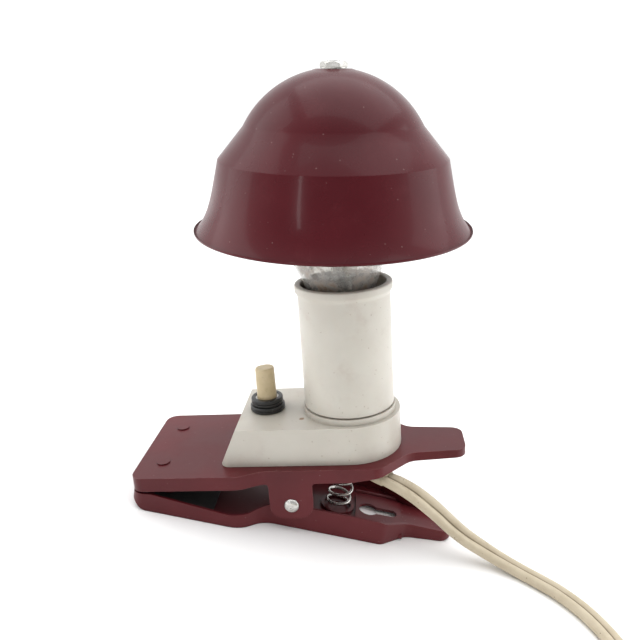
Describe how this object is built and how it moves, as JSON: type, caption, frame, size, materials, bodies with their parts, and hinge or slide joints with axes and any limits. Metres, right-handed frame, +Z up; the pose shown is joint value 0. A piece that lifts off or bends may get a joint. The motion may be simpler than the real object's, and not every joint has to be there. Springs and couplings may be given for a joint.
{
  "type": "clip on reading lamp",
  "caption": "Clip-on reading lamp: sprung two-jaw clip, housing with push switch, upright bulb holder and a domed shade clipped on the bulb, with a flat cord and plug.",
  "frame": {"origin": "on the flat underside of the lower jaw, straight below the pivot pin", "axes": "+X from the mouth to the handles, +Z up from the surface that the lower jaw lies on, +Y away from the side that the cord leaves at; the holder leans to -X by the angle between the jaws"},
  "size_m": [0.203, 0.2472, 0.1863],
  "materials": {
    "clip_paint": "satin burgundy paint",
    "shade_enamel": "glossy burgundy enamel",
    "ivory_plastic": "aged ivory moulding",
    "cream_plastic": "yellowed cream",
    "black_plastic": "black",
    "brown_bakelite": "brown bakelite",
    "pressboard": "pressed board",
    "pad_rubber": "matt black",
    "bright_steel": "nickel plated",
    "spring_steel": "spring wire",
    "brass": "plain",
    "porcelain": "glazed",
    "clear_glass": "clear",
    "black_glass": "black glass insulator",
    "cap_metal": "bright cap",
    "solder": "tin solder",
    "lead_wire": "dull wire",
    "filament_wire": "tungsten",
    "brown_lead": "brown insulation",
    "blue_lead": "blue insulation",
    "cord_pvc": "cream PVC",
    "plug_plastic": "ivory"
  },
  "bodies": {
    "lamp_body": {"upper_jaw": "clip_paint", "upper_jaw_pad": "pad_rubber", "upper_pad_rivets": "clip_paint", "pivot_pin": "bright_steel", "pivot_spacers": "bright_steel", "clip_spring": "spring_steel", "housing": "ivory_plastic", "insulating_sheet": "pressboard", "housing_screws": "bright_steel", "switch_body": "brown_bakelite", "switch_bushing": "bright_steel", "switch_lock_ring": "black_plastic", "switch_ring_nut": "black_plastic", "switch_terminals": "brass", "button_spring": "spring_steel", "holder_skirt": "ivory_plastic", "holder_insert": "porcelain", "holder_shell": "brass", "holder_contact": "brass", "holder_screws": "bright_steel", "holder_terminals": "brass", "lead_to_switch": "brown_lead", "lead_to_holder": "blue_lead", "lead_switched": "brown_lead", "cord_grommet": "cord_pvc", "cord_clamp": "pressboard", "cord_clamp_screws": "bright_steel", "cord": "cord_pvc", "cord_coil": "cord_pvc", "cord_tie": "black_plastic", "plug_relief": "plug_plastic", "plug_body": "plug_plastic", "plug_pins": "bright_steel"},
    "lower_jaw_body": {"lower_jaw": "clip_paint", "lower_jaw_pad": "pad_rubber", "lower_pad_rivets": "clip_paint"},
    "button_body": {"push_button": "cream_plastic"},
    "bulb_body": {"bulb_glass": "clear_glass", "bulb_cap": "cap_metal", "bulb_insulator": "black_glass", "bulb_contact": "solder", "bulb_stem": "clear_glass", "bulb_leads": "lead_wire", "bulb_filament": "filament_wire"},
    "shade_clip_body": {"clip_wires": "spring_steel", "clip_plate": "spring_steel", "shade_stud": "bright_steel", "shade_inner_nut": "bright_steel", "shade_washers": "bright_steel", "shade_hex_nut": "bright_steel"},
    "shade_body": {"shade": "shade_enamel"}
  },
  "joints": [
    {"name": "clip_open", "type": "hinge", "parent": "lamp_body", "child": "lower_jaw_body", "pos_m": [0, 0, 0.013], "axis": [0, -1, 0], "range_deg": [0, 20], "stiffness_Nm_per_rad": 0.5, "springref_deg": -40.11, "deforming": ["clip_spring"]},
    {"name": "button_press", "type": "slide", "parent": "lamp_body", "child": "button_body", "axis": [0.2368, 0, -0.9715], "range_m": [0, 0.003], "stiffness_N_per_m": 300, "springref_m": -0.004, "deforming": ["button_spring"]},
    {"name": "bulb_pull", "type": "slide", "parent": "lamp_body", "child": "bulb_body", "axis": [-0.2605, 0.0175, 0.9653], "range_m": [0, 0.045]},
    {"name": "shade_tilt", "type": "hinge", "parent": "bulb_body", "child": "shade_clip_body", "pos_m": [-0.00833, 0.00131, 0.14371], "axis": [0, 1, 0], "range_deg": [-15, 15]},
    {"name": "shade_turn", "type": "hinge", "parent": "shade_clip_body", "child": "shade_body", "pos_m": [-0.00833, 0.00131, 0.14371], "axis": [-0.1733, -0.061, 0.983], "continuous": true}
  ]
}
